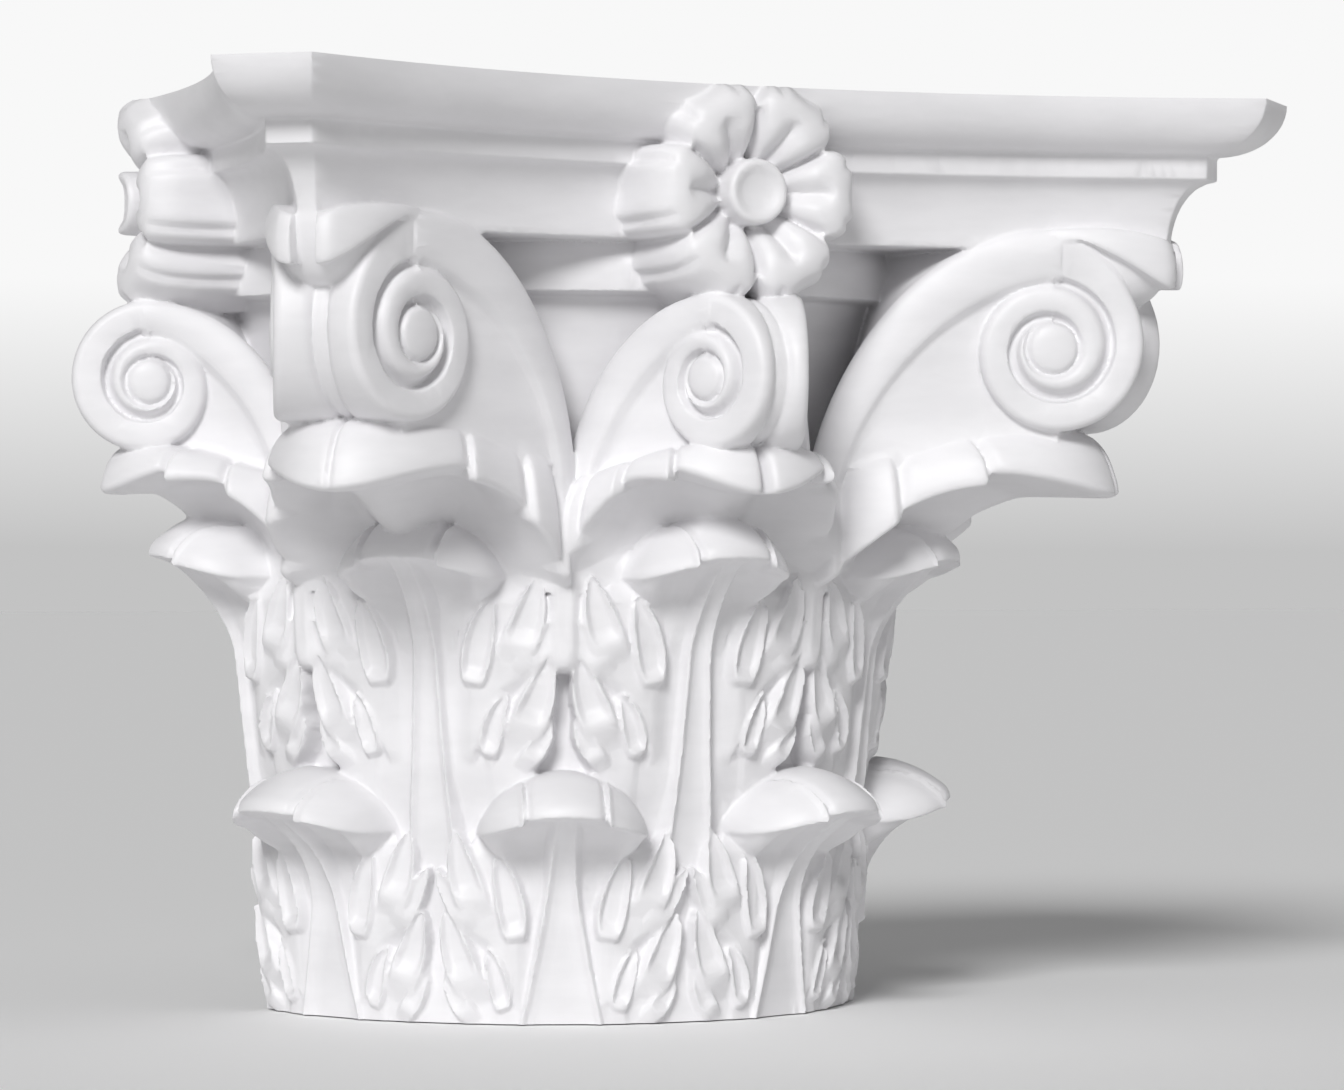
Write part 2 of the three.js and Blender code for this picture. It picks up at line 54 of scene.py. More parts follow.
PAST_CUT = 3  # every skin runs this far past the planes that it is cut on

# how finely the skins are melted together, and how many triangles the finished piece may have
VOXEL = 0.72
SMOOTHING = 2
TRIANGLES = 188000

# abacus levels, top to bottom: height, horn reach, width of the horn's cut corner, mid-side reach
TOP = dict(z=HEIGHT, horn=295, corner=38, side=176)
FASCIA_TOP = dict(z=330, horn=270, corner=18, side=158.5)
FASCIA_FOOT = dict(FASCIA_TOP, z=320.5)
COVE_FOOT = dict(z=294, horn=253, corner=7, side=148)

# bell
BELL_Z = [-3, 0, 110, 190, 240, 262, 273.5, 274.5, 284.5, 288, 292.5, 296]
BELL_RADIUS = [117, 117, 122, 125, 130, 133.5, 137, 146.5, 146.5, 145.8, 143.5, 139.5]
CORE_RADIUS = 100

# the two rows of leaves
LOWER = dict(lip=80, centre=129.7, reach=32.4, half=32, ground=118, lean=0.07)
UPPER = dict(lip=176, centre=142, reach=27.4, half=31, ground=117.5, lean=0.095)
LOWER_PLACES = [-67.5, -22.5, 22.5, 67.5]
UPPER_PLACES = [-90, -45, 0, 45, 90]

# calyx leaves and scrolls: one set under each horn, one in the middle of each side
CORNER = dict(
    tip=233, calyx_half=52, volute=39, second_turn=24, channel=27.7, channel_turn=13.7, shrink=1,
    eye=9.8, eye_z=256, rim_half=15.5, reach=246.5, crown=44.5,
    arris=[[51, 131, 168], [64, 132, 225], [45.5, 172.9, 282]],
    edge=[[53, 122, 168], [62, 118, 235], [50, 165, 306]],
    lobes=[0, 49, 68, 80, 92],
)
MIDDLE = dict(
    tip=191, calyx_half=51, volute=31, second_turn=16.5, channel=20.8, channel_turn=10.4, shrink=1.6,
    eye=8.4, eye_z=242, rim_half=10, reach=202.5, crown=31,
    arris=[[50, 130, 168], [52, 132, 215], [30.4, 146.8, 256]],
    edge=[[52, 121, 168], [57, 118, 225], [34.2, 137.5, 274]],
    lobes=[0, 38, 59, 74, 92],
)
SPLAY = math.radians(22)  # a scroll's face turns this far away from its pair's middle
EYE_SET_IN = 0.88  # from a scroll's eye to its pair's front, as a share of its radius
STEM_PAST_EYE = 3
CHANNEL_DEPTH = 4.5
WEB_FOOT_Z = 210
STEM_BACK = 128
CALYX_ROOT = 120

TONGUE_FOOT_Z = 132
TONGUE_HALF = 7.5
TONGUE_GROUND = 118

ROSETTE_Z = 310.8
PETALS = 6

DRAPE = dict(centre=222, z=296, half=21, reach=31.5, drop=25)


# ---- fair lines, bumps and places --------------------------------------------------------------


def lerp(a, b, share):
    return a + (b - a) * share


def ramp(x, low, high):
    """0 below low, 1 above high, and a smooth rise between them."""
    t = np.clip((x - low) / (high - low), 0, 1)
    return t * t * (3 - 2 * t)


def bead(x, centre, width):
    """A rounded ridge across x, 1 high in its middle."""
    return np.exp(-(((x - centre) / width) ** 2))


def fair(x, stations, values):
    """A smooth line through a few stations that never swings past them."""
    s, v = np.asarray(stations, float), np.asarray(values, float)
    step = np.diff(s)
    rise = np.diff(v) / step
    slope = np.concatenate([rise[:1], np.zeros(len(s) - 2), rise[-1:]])
    same = rise[:-1] * rise[1:] > 0
    total = np.where(same, rise[:-1] + rise[1:], 1)
    slope[1:-1] = np.where(same, 2 * rise[:-1] * rise[1:] / total, 0)
    x = np.clip(x, s[0], s[-1])
    i = np.clip(np.searchsorted(s, x, side="right") - 1, 0, len(step) - 1)
    t = (x - s[i]) / step[i]
    start = v[i] * (1 + 2 * t) * (1 - t) ** 2 + step[i] * slope[i] * t * (1 - t) ** 2
    end = v[i + 1] * t * t * (3 - 2 * t) + step[i] * slope[i + 1] * t * t * (t - 1)
    return start + end


def bezier(points, t):
    a, b, c, d = [np.asarray(p, float) for p in points]
    t = np.asarray(t)[:, None]
    return a * (1 - t) ** 3 + 3 * b * t * (1 - t) ** 2 + 3 * c * t * t * (1 - t) + d * t**3


def around(angle, l, d, z):
    """Points beside (l), outward (d) and above (z), turned to their place on the capital."""
    l, d, z = np.broadcast_arrays(l, d, z)
    c, s = np.cos(angle), np.sin(angle)
    return np.stack([l * c + d * s, l * s - d * c, z], axis=-1)


# ---- the skins ---------------------------------------------------------------------------------


class Skins:
    """Closed skins that overlap, gathered for melting together."""

    def __init__(self):
        self.points, self.faces, self.count = [], [], 0

    def add(self, rings):
        """A skin over rings of equal length, closed by a fan at both ends."""
        rows, count = rings.shape[:2]
        ends = np.stack([rings[0].mean(0), rings[-1].mean(0)])
        points = np.concatenate([rings.reshape(-1, 3), ends])
        i, j = np.meshgrid(np.arange(rows - 1), np.arange(count), indexing="ij")
        a = (i * count + j).ravel()
        b = (i * count + (j + 1) % count).ravel()
        one, two = np.arange(count), (np.arange(count) + 1) % count
        last = (rows - 1) * count
        faces = np.concatenate([
            np.stack([a, b, b + count], 1),
            np.stack([a, b + count, a + count], 1),
            np.stack([two, one, np.full(count, rows * count)], 1),
            np.stack([last + one, last + two, np.full(count, rows * count + 1)], 1),
        ])
        self.points.append(points)
        self.faces.append(faces + self.count)
        self.count += len(points)

    def mesh(self, name):
        points, faces = np.concatenate(self.points), np.concatenate(self.faces)
        mesh = bpy.data.meshes.new(name)
        mesh.vertices.add(len(points))
        mesh.vertices.foreach_set("co", points.astype(np.float32).ravel())
        mesh.loops.add(faces.size)
        mesh.loops.foreach_set("vertex_index", faces.astype(np.int32).ravel())
        mesh.polygons.add(len(faces))
        mesh.polygons.foreach_set("loop_start", np.arange(0, faces.size, 3, dtype=np.int32))
        mesh.update(calc_edges=True)
        return mesh


def abacus_ring(level):
    """Three hollowed sides between the wall plane and the two cut corners."""
    half_corner = level["corner"] / 2
    x = (level["horn"] - half_corner) * math.sqrt(0.5)
    sag = (level["horn"] + half_corner) * math.sqrt(0.5) - level["side"]
    radius = (x * x + sag * sag) / (2 * sag)
    sweep, past = math.asin(x / radius), PAST_CUT / radius
    ring = []
    for turn, start, end in ((-90, -past, sweep), (0, -sweep, sweep), (90, -sweep, past)):
        t = np.linspace(start, end, 200)
        out = level["side"] + radius * (1 - np.cos(t))
        ring.append(around(math.radians(turn), radius * np.sin(t), out, level["z"]))
    return np.concatenate(ring)


def abacus(skins):
    """Ovolo, fascia and cove, top to bottom."""

    def between(a, b, out, down):
        level = {key: lerp(a[key], b[key], out) for key in a}
        level["z"] = lerp(a["z"], b["z"], down)
        return level

    quarter = np.linspace(0, math.pi / 2, 16)
    levels = [dict(TOP, z=HEIGHT + PAST_CUT)]
    levels += [between(TOP, FASCIA_TOP, 1 - math.cos(t), math.sin(t)) for t in quarter]
    levels += [between(FASCIA_FOOT, COVE_FOOT, math.sin(t), 1 - math.cos(t)) for t in quarter]
    skins.add(np.stack([abacus_ring(level) for level in levels]))


# leaflets of one half leaf: foot and tip beside the rib and above the lip, half width, bend, hollow
LEAFLETS = [
    dict(foot=(16.5, -51), tip=(23.5, -15), half=6.6, bend=-1.0, rise=5.4, hollow=3.4, closed=1),
    dict(foot=(26, -47), tip=(38.5, -7), half=7.4, bend=2.0, rise=5.4, hollow=3.0, closed=0),
    dict(foot=(28, -49), tip=(45.5, -21), half=4.8, bend=1.5, rise=4.8, hollow=1.6, closed=0),
    dict(foot=(21.5, -77), tip=(28, -51), half=4.8, bend=-1.2, rise=4.4, hollow=2.4, closed=1),
    dict(foot=(29, -77), tip=(42.5, -37), half=7.4, bend=1.5, rise=5.2, hollow=3.0, closed=0),
    dict(foot=(30, -82), tip=(43.5, -61), half=4.4, bend=1.5, rise=4.4, hollow=1.6, closed=0),
]
# the hollow between the upper and the lower leaflets, and the blade's edge, by rise above the lip
VALLEY_X = [16, 22, 24.8, 35, 43, 48]
VALLEY_RISE = [-80, -68, -58, -49, -37, -29]
EDGE_RISE = [-90, -80, -60, -50, -38, -23, -12, -3, 2]
EDGE_X = [38, 38.5, 39, 36.5, 35.5, 38, 34, 30, 26]
LEAF_TURN = math.radians(24)  # a leaf reaches no further than this to each side of its rib
LEAF_RADIUS = 122


def leaflet(x, rise, shape):
    """Height of one leaflet: a raised rim round a hollow, pointed at its tip."""
    (foot_x, foot_z), (tip_x, tip_z) = shape["foot"], shape["tip"]
    length = math.hypot(tip_x - foot_x, tip_z - foot_z)
    ax, az = (tip_x - foot_x) / length, (tip_z - foot_z) / length
    s = ((x - foot_x) * ax + (rise - foot_z) * az) / length
    across = (x - foot_x) * az - (rise - foot_z) * ax
    inside = (s > 0) & (s < 1)
    s = np.clip(s, 1e-4, 1 - 1e-4)
    across = across - shape["bend"] * 4 * s * (1 - s)
    half = shape["half"] * 2.3 * s**0.5 * (1 - s) ** 0.72
    e = 1 - np.abs(across) / np.maximum(half, 1e-3)
    rim = shape["rise"] * ramp(e, 0, 0.26) * ramp(s, 0, 0.12 if shape["closed"] else 0.4)
    start = 0.1 if shape["closed"] else 0.34
    hollow = shape["hollow"] * ramp(e, 0.28, 0.6) * ramp(s, start, start + 0.2)
    return np.where(inside & (e > 0), rim - hollow, 0), inside & (e > 0.12)


def leaf_height(row, x, z):
    """How far one leaf's blade and leaflets stand off the leaf's ground, at x beside its rib."""
    x = np.abs(x)
    rise = z - row["lip"]
    edge = fair(rise, EDGE_RISE, EDGE_X)
    inside = 1 - ramp(x, edge - 1.0, edge)
    above = (rise - fair(x, VALLEY_X, VALLEY_RISE)) * 0.7
    upper_pad = 3.6 * ramp(above, 0.2, 5.5) * ramp(x, 9, 18) * (1 - ramp(rise, -18, -6))
    lower_pad = (2.2 - 1.0 * ramp(-above, 3, 12)) * ramp(-above, 0.1, 1.4) * ramp(x, 20, 23)
    pad = np.where(above > 0, upper_pad, lower_pad)
    leaflets = np.zeros_like(pad)
    for shape in LEAFLETS:
        height, on = leaflet(x, rise, shape)
        leaflets = np.maximum(leaflets, height)
        inside = np.maximum(inside, on)
    joined = np.maximum(pad, leaflets + 0.35 * pad)
    low_enough = rise < 2
    return np.where(low_enough, (joined + 2) * inside, 0), inside * low_enough


def drum(skins):
    """The bell and the leaves that lie on it."""
    past = math.degrees(PAST_CUT / BELL_RADIUS[0])
    columns, rows = ((480, 400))
    turn = np.radians(np.linspace(-90 - past, 90 + past, columns))[None, :]
    z = np.linspace(-PAST_CUT, 296, rows)[:, None]
    bell = np.interp(z, BELL_Z, BELL_RADIUS) + 0 * turn
    bell = np.where(z < 262, fair(z, BELL_Z[:6], BELL_RADIUS[:6]) + 0 * turn, bell)
    surface = bell
    for row, places in ((UPPER, UPPER_PLACES), (LOWER, LOWER_PLACES)):
        ground = row["ground"] + row["lean"] * np.maximum(z, 0)
        if row is UPPER:
            ground = lerp(119, ground, ramp(z, 60, 96))
        for place in places:
            off = turn - math.radians(place)
            near = np.abs(off) < LEAF_TURN
            height, inside = leaf_height(row, LEAF_RADIUS * np.sin(off), z + 0 * turn)
            leaf = lerp(bell, ground + height - 1.2, inside)
            surface = np.where(near, np.maximum(surface, leaf), surface)
    skins.add(np.stack([surface * np.sin(turn), -surface * np.cos(turn), z + 0 * turn], axis=-1))


# ---- hoods and ribs ----------------------------------------------------------------------------

# how a hood's half width, its front and its cheeks grow and close again, by rise above the lip
HOOD_RISE = [-40, -30, -22, -17, -13, -9, -5, -2.5, 0, 3.4, 8, 11.5, 14.5, 16.3]
HOOD_HALF = [0.36, 0.38, 0.46, 0.59, 0.72, 0.84, 0.93, 0.97, 1, 0.97, 0.86, 0.72, 0.48, 0.2]
FRONT_RISE = [-40, -30, -22, -15, -9, -4, -2, -0.8, 0, 3.4, 8, 12, 15.2, 16.4]
FRONT_REACH = [0.02, 0.03, 0.07, 0.17, 0.36, 0.6, 0.76, 0.93, 1, 0.97, 0.8, 0.58, 0.3, 0.05]
CHEEK_RISE = [-40, -30, -22, -15, -9, -5, -3, -1.5, 0, 3.4, 8, 11.5, 14.5, 16.2]
CHEEK_REACH = [0.02, 0.06, 0.15, 0.36, 0.58, 0.76, 0.86, 0.93, 1, 0.96, 0.8, 0.6, 0.3, 0.05]
CHEEK_DROP = 6
HOOD_CREASE = 15  # the hood's middle lobe ends this far beside the rib


def leaf_ground(row, z):
    return row["ground"] + row["lean"] * z


def hood_root(row, rise):
    share = ramp(rise, -39, 0)
    return lerp(leaf_ground(row, row["lip"] + rise), row["centre"], share)


def hood(skins, angle, row):
    """A leaf's head, curled over into a hood of three lobes with a hollow under its lip."""
    low = np.linspace(-39.5, -4, 34)
    lip = np.linspace(-3.8, 1, 16)
    roof = np.linspace(1.3, 16.3, 26)
    rise = np.concatenate([low, lip, roof])[:, None]
    t = np.radians(np.linspace(-90, 90, 141))[None, :]
    half = fair(rise, HOOD_RISE, HOOD_HALF)
    l = row["half"] * half * np.sin(t)
    beside = np.abs(l)
    front_share = fair(rise, FRONT_RISE, FRONT_REACH)
    cheek_share = fair(rise, CHEEK_RISE, CHEEK_REACH)
    share = lerp(front_share, cheek_share, ramp(beside, 18, 27))
    d = hood_root(row, rise) + row["reach"] * share * np.cos(t)
    z = row["lip"] + rise - CHEEK_DROP * half * np.sin(t) ** 2
    on_roof = ramp(rise, -2.5, -0.5)
    line = 1.6 * bead(beside, HOOD_CREASE + 1.2, 0.8) - 2.2 * bead(beside, HOOD_CREASE - 0.6, 1.0)
    d = d + line * on_roof
    z = z + 0.7 * line * ramp(rise, 2, 8)
    step = ramp(beside, HOOD_CREASE, HOOD_CREASE + 1.2) * ramp(rise, -4, -0.5) * (1 - ramp(rise, 2, 12))
    z = z - 1.8 * step
    hollow = bead(beside, 14, 9) * ramp(rise, -30, -12) * (1 - ramp(rise, -4, -0.4))
    d = d - 6.5 * hollow
    front = around(angle, l, d, z)
    ends = row["half"] * half
    back_z = z[:, :1]
    back = np.stack([
        around(angle, ends[:, 0], CORE_RADIUS, back_z[:, 0]),
        around(angle, -ends[:, 0], CORE_RADIUS, back_z[:, 0]),
    ], axis=1)
    skins.add(np.concatenate([front, back], axis=1))


# a rib's half width, by share of the way from its foot to the lip
RIB_SHARE = [0, 0.35, 0.62, 0.8, 1]
RIB_HALF = [16, 10.2, 6.6, 5.2, 4.4]


def rib(skins, angle, row):
    """The flat middle rib between two thin beads, wide at its foot, curving out under the lip."""
    z = np.concatenate([[-PAST_CUT], np.linspace(0, row["lip"] - 0.8, 130)])
    share = np.clip(z / row["lip"], 0, 1)
    rise = z - row["lip"]
    reach = row["reach"] * fair(rise, FRONT_RISE, FRONT_REACH)
    front = hood_root(row, rise) + reach
    if row is UPPER:
        front = front - 2.5 * (1 - ramp(z, 50, 92))
    front = front + 3.2 * (1 - 0.9 * ramp(share, 0.9, 1)) * lerp(0.75, 1, share)
    half = fair(share, RIB_SHARE, RIB_HALF)
    rings = []
    for side in np.concatenate([np.linspace(-1, -0.0, 22), np.linspace(0.05, 1, 21)]):
        away = (1 - abs(side)) * half  # from the rib's edge
        bead_line = 1.4 * bead(away, 1.1, 0.8) - 0.9 * ramp(away, 1.9, 4) - 0.5 * ramp(away, 3, 8)
        bead_line = bead_line - 1.2 * (away < 0.25)
        rings.append(around(angle, side * half, front + bead_line, z))
    rings.insert(0, around(angle, -half - 1.6, front - 4.2, z))
    rings.append(around(angle, half + 1.6, front - 4.2, z))
    rings += [around(angle, half, CORE_RADIUS, z), around(angle, -half, CORE_RADIUS, z)]
    skins.add(np.stack(rings, axis=1))


# ---- calyx leaves, tongues ---------------------------------------------------------------------


# from the root out over the roof, round the lip and back underneath: share of the reach, lift, and
# share of the height between lip and top
CALYX_PROFILE = [
    (0.1, 0, 1), (0.3, 0, 1), (0.55, 0, 1), (0.8, 0, 0.97), (0.9, 0, 0.86), (0.965, 0.5, 0.55),
    (0.995, 2.6, 0.12), (1, 2.2, 0), (0.985, 0.6, 0), (0.95, 0, 0), (0.8, 0.4, 0), (0.68, 0.5, 0),
    (0.52, -5, 0), (0.38, -15, 0), (0.22, -20, 0), (0.1, -24, 0),
]


def calyx(skins, angle, own):
    """The leaf that spreads under a pair of scrolls and runs down to a tongue on each side."""
    degrees = np.linspace(-90, 90, 241)
    t = np.radians(degrees)
    side = np.abs(np.sin(t))
    lip_z = 199 + 6 * np.sin(2 * t) ** 2 - 36 * side**16
    top_z = own["eye_z"] - own["volute"] * 0.75 - 12 * side**4
    reach = own["tip"] - CALYX_ROOT
    teeth, crease, scallop = np.zeros_like(t), np.zeros_like(t), np.zeros_like(t)
    lobes = own["lobes"]
    for start, end in zip(lobes[:-1], lobes[1:]):
        along = (np.abs(degrees) - start) / (end - start)
        inside = (along >= 0) & (along < 1)
        nose = ramp(along, 0, 0.14) * (1 - along) ** 1.2
        teeth = np.where(inside & (start > 0), nose * 5.5 - 0.8, teeth)
        scallop = np.where(inside, 3.2 * along**2 - (1.2 if start else 0), scallop)
        crease = np.maximum(crease, bead(np.abs(degrees), start, 1.3 if start else 1.0))
    if own is MIDDLE:
        teeth = teeth - 6 * bead(degrees, 0, 2.4)
    flare = 6 * bead(np.abs(degrees), 77, 11)
    spacing = np.arange(len(CALYX_PROFILE))
    fine = np.linspace(0, len(CALYX_PROFILE) - 1, 110)
    share, lift, height = [fair(fine, spacing, column) for column in zip(*CALYX_PROFILE)]
    rings = []
    for i in range(len(t)):
        out = share * (1 + teeth[i] / reach * ramp(share, 0.6, 1))
        z = lerp(lip_z[i] + lift + scallop[i] * ramp(share, 0.8, 0.97), top_z[i], height)
        roof = ramp(share, 0.55, 0.75) * (height > 0.02)
        z = z - 2.0 * crease[i] * roof
        out = out - (1.8 / reach) * crease[i] * ramp(share, 0.8, 0.95)
        l = (own["calyx_half"] * np.sin(t[i]) + flare[i] * np.sign(t[i]) * ramp(share, 0.4, 0.9)) * out
        d = CALYX_ROOT + reach * np.cos(t[i]) * out
        rings.append(around(angle, l, d, z))
    skins.add(np.stack(rings))


def tongue(skins, angle):
    """The pendant tongue from which two neighbouring stems spring: two ridges and a groove."""
    rise = np.concatenate([np.linspace(0, 4, 9), np.linspace(5, 66, 62)])
    half = TONGUE_HALF * fair(rise, [0, 1.2, 3.5, 20, 34, 48, 66], [0.5, 0.88, 1.12, 1.08, 1.2, 1.8, 2.5])
    reach = fair(rise, [0, 1.2, 3.5, 12, 20, 34, 48, 66], [12, 17, 20, 22, 22.5, 23, 22, 15])
    rings = []
    for t in np.radians(np.linspace(-90, 90, 41)):
        groove = 1.5 * bead(math.degrees(t), 0, 16) * ramp(rise, 4, 12)
        d = TONGUE_GROUND + (reach - groove) * math.cos(t) ** 0.7
        rings.append(around(angle, half * math.sin(t), d, TONGUE_FOOT_Z + rise))
    for hand in (1, -1):
        rings.append(around(angle, hand * half, CORE_RADIUS, TONGUE_FOOT_Z + rise))
    skins.add(np.stack(rings, axis=1))


# ---- scrolls and their stems -------------------------------------------------------------------


def scroll_plane(hand, own):
    """A scroll's own plane: u outward along it, v up, w out of its face; gives l, d and z."""
    eye_d = own["reach"] - own["volute"] * EYE_SET_IN * math.cos(SPLAY)
    eye_l = own["rim_half"] + own["volute"] * EYE_SET_IN * math.sin(SPLAY)

    def place(u, v, w):
        l = eye_l - u * math.sin(SPLAY) + w * math.cos(SPLAY)
        d = eye_d + u * math.cos(SPLAY) + w * math.sin(SPLAY)
        return hand * l, d, own["eye_z"] + v

    return place


def turn_radius(own, turn):
    """Outer edge of the band after so many turns; it starts high, where the stem runs in."""
    first = lerp(own["volute"], own["second_turn"], np.clip(turn, 0, 1) ** own["shrink"])
    first = first + (own["crown"] - own["volute"]) * (1 - ramp(turn, 0, 0.17))
    return np.where(turn <= 1, first, lerp(own["second_turn"], own["eye"], np.clip(turn - 1, 0, 1)))


def channel_radius(own, turn):
    return np.maximum(own["channel"] - own["channel_turn"] * turn, own["eye"] + 0.8)


SHOULDER = 3.2  # width of the rounding of the band's outer edge
SHOULDER_DROP = 3.4


def scroll_face(own, radius, turn):
    """Height of the scroll's face: a band and the channel inside it, winding in to the eye."""
    height = 0 * (radius + turn)
    for lap in (0, 1):
        total = turn + lap
        edge, step = turn_radius(own, total), channel_radius(own, total)
        following = turn_radius(own, total + 1) if lap == 0 else own["eye"] + 0 * turn
        depth = fair(total, [0, 0.2, 0.5, 1, 1.3, 2], [3.8, 5.4, 4.8, 3.8, 3.4, 2.4])
        q = np.clip((edge - radius) / np.maximum(edge - step, 0.6), 0, 1)
        corner = 1 - np.clip((edge - radius) / SHOULDER, 0, 1)
        band = 5 * q * (1 - q) * ramp(total, 0.6, 1.2)
        band = band - SHOULDER_DROP * (1 - np.sqrt(1 - 0.999 * corner**2))
        across = np.clip((radius - following) / np.maximum(step - following, 0.6), 0, 1)
        channel = -lerp(SHOULDER_DROP, depth, ramp(across, 0, 0.7)) * ramp(step - radius, 0, 0.8)
        height = np.where((radius > step) & (radius <= edge), band, height)
        height = np.where((radius > following) & (radius <= step), channel, height)
    ring = own["eye"]
    height = height - 1.6 * bead(radius, ring + 0.7, 0.8)
    dome = 2.4 * np.sqrt(np.clip(1 - 0.92 * (radius / ring) ** 2, 0, 1)) - 0.6
    return np.where(radius < ring, dome - 1.6 * ramp(radius, ring - 1.2, ring), height)


def scroll(skins, angle, hand, own):
    """One scroll, from its face back to the middle of its pair, with a fine bead along the joint."""
    place = scroll_plane(hand, own)
    count = 300 if own is CORNER else 240
    turn = np.linspace(0, 0.9999, count)
    t = np.radians(90 - 360 * turn)
    edge = turn_radius(own, turn)
    rings = []
    for share in np.linspace(0.01, 1, 84 if own is CORNER else 64):
        radius = edge * share
        w = scroll_face(own, radius, turn)
        rings.append(around(angle, *place(radius * np.cos(t), radius * np.sin(t), w)))
    l_front, _, _ = place(edge * np.cos(t), edge * np.sin(t), -3)
    depth = np.abs(l_front)
    for share in np.linspace(0.04, 1, 46):
        left = depth * (1 - share)  # to the pair's middle
        dip = -0.9 * (1 - ramp(left, 2, 6)) - 1.2 * bead(left, 2.1, 0.9)
        radius = edge + dip
        w = -3 - (depth - left) / math.cos(SPLAY)
        rings.append(around(angle, *place(radius * np.cos(t), radius * np.sin(t), w)))
    w = -3 - (depth + 1) / math.cos(SPLAY)
    rings.append(around(angle, *place(0.3 * edge * np.cos(t), 0.3 * edge * np.sin(t), w)))
    skins.add(np.stack(rings))


def stem(skins, angle, hand, own):
    """The stem: a band with a sharp inner arris and a hollow web, from the tongue to the scroll."""
    place = scroll_plane(1, own)
    steps = np.linspace(0, 1, 110)
    m = bezier(own["arris"] + [place(STEM_PAST_EYE, own["channel"], 0)], steps)
    o = bezier(own["edge"] + [place(STEM_PAST_EYE, own["crown"], -1)], steps)
    foot = np.minimum(m[:, 2] - 6, WEB_FOOT_Z)
    sunk = lerp(0, CHANNEL_DEPTH, steps)
    rings = []
    out = np.array([math.cos(SPLAY), math.sin(SPLAY), 0])
    for share in np.linspace(0, 1, 17):
        swell = 1.4 * math.sin(math.pi * share) ** 0.8 - 1.8 * (1 - min(share / 0.12, 1)) ** 2
        rings.append(lerp(o, m, share) + out * swell)
    web = m - out * (sunk + 1)[:, None]
    for share in (0.25, 0.5, 0.75, 1):
        drop = np.minimum(5.5, (m[:, 2] - foot) * 0.8) * share
        p = lerp(m, web, ramp(share, 0, 1))  # the arris rolls over into the web
        rings.append(p - np.array([0, 0, 1]) * drop[:, None])
    for share in (0.3, 0.6, 1):
        p = web.copy()
        p[:, 2] = lerp(rings[-1][:, 2], foot, share)
        rings.append(p - out * 1.2 * math.sin(math.pi * share))
    rings.append(np.stack([0 * foot - 1, web[:, 1], foot], axis=1))
    rings.append(np.stack([0 * foot - 1, 0 * foot + STEM_BACK, o[:, 2] - 2], axis=1))
    rings.append(lerp(rings[-1], o, 0.9) - np.array([0, 0, 1.0]))
    skins.add(np.stack([around(angle, hand * r[:, 0], r[:, 1], r[:, 2]) for r in rings], axis=1))


# ---- drapes and rosettes -----------------------------------------------------------------------

# a flank's lower edge and crest, from beside the channel to the scroll's top: l, d, z
FLANK_EDGE = [
    (4.6, 256.2, 279), (9, 255.2, 279.6), (14, 251, 282.5), (18.5, 244.5, 287), (22.5, 236, 292),
    (26.5, 223, 297), (30, 203, 296),
]
FLANK_CREST = [
    (4.6, 255, 297), (9, 253.8, 298), (14, 247, 300), (18.2, 238.5, 301.5), (22.5, 229, 302),
    (27, 216.5, 301.3), (29.5, 201, 298.5),
]


def drape(skins, angle):
    """The drape under a horn: a rounded belly, and two flanks that sweep back over the scrolls."""
    rings = []
    for fall in np.radians(np.linspace(0, 88, 40)):
        t = np.linspace(0, 2 * math.pi, 160, endpoint=False)
        shrink = math.cos(fall) ** 0.6
        belly = 2.2 * math.sin(fall) ** 2 * shrink
        l = DRAPE["half"] * shrink * np.sin(t)
        d = DRAPE["centre"] + (DRAPE["reach"] * shrink + belly) * np.cos(t)
        rings.append(around(angle, l, d, DRAPE["z"] - DRAPE["drop"] * math.sin(fall)))
    skins.add(np.stack(rings))
    along = np.linspace(0, 1, 70)
    knots = np.linspace(0, 1, len(FLANK_EDGE))
    edge = np.stack([fair(along, knots, [p[i] for p in FLANK_EDGE]) for i in range(3)], axis=1)
    crest = np.stack([fair(along, knots, [p[i] for p in FLANK_CREST]) for i in range(3)], axis=1)
    beside = fair(along, [0, 0.35, 1], [0.1, 0.6, 0.9])
    outward = fair(along, [0, 0.35, 1], [1, 0.8, 0.4])
    out = np.stack([beside, outward, 0 * along], axis=1)
    fade = (1 - ramp(along, 0.5, 0.95))[:, None]
    for hand in (1, -1):
        rings = []
        for share in np.linspace(0, 1, 15):
            swell = 2.0 * math.sin(math.pi * share) ** 0.6
            rings.append(lerp(edge, crest, share) + out * swell * fade)
        rings.append(crest - out * 12)
        rings.append(edge - out * 12)
        rings.append(edge - out * 3)
        rings = [around(angle, hand * r[:, 0], r[:, 1], r[:, 2]) for r in rings]
        skins.add(np.stack(rings, axis=1))


# a petal's middle line from its root over the rolled side to the button: outward and radius
PETAL_OUT = [128, 138, 158, 172, 180, 184.5, 185.5, 184, 180, 175, 171]
PETAL_RADIUS = [40, 43.4, 44.2, 43.2, 40.5, 36, 31, 26, 20, 15.5, 12]
# the button's side, rim and dish: radius and outward
BUTTON = [
    (12.4, 172), (12.3, 177), (12.2, 180), (11.6, 182), (10.2, 182.4), (8.6, 181.6), (6.5, 180.3),
    (3, 179.8), (0.8, 179.8),
]


